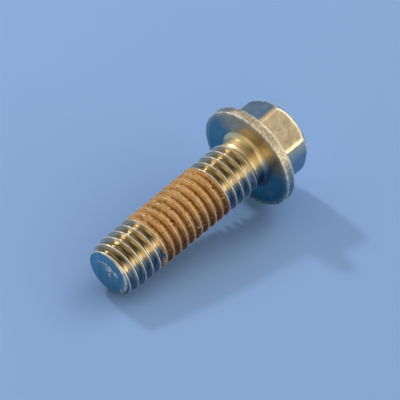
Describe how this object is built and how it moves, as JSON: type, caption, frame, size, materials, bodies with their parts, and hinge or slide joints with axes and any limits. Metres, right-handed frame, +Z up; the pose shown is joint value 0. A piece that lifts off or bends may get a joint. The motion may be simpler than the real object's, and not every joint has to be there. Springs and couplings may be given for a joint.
{
  "type": "hexagon flange bolt",
  "caption": "Hexagon flange bolt with a coarse metric thread, a round flange under a crowned hexagon head, and a band of dried thread-locking compound in its thread.",
  "frame": {"origin": "middle of the underside of the lying bolt's bounding box, on the surface it lies on", "axes": "+Z up; the bolt's axis is in the XZ plane with the head towards +X; the tip end is lower, because the bolt lies on its flange rim and its thread"},
  "size_m": [0.0258, 0.0112, 0.0112],
  "materials": {
    "plated_steel": "yellow zinc plating, glossy, with a faint green and pink tint and small handling marks",
    "lock_compound": "dried orange-tan compound, matte and slightly pitted"
  },
  "bodies": {
    "root": {"bolt": "plated_steel", "lock_patch": "lock_compound"}
  },
  "joints": []
}
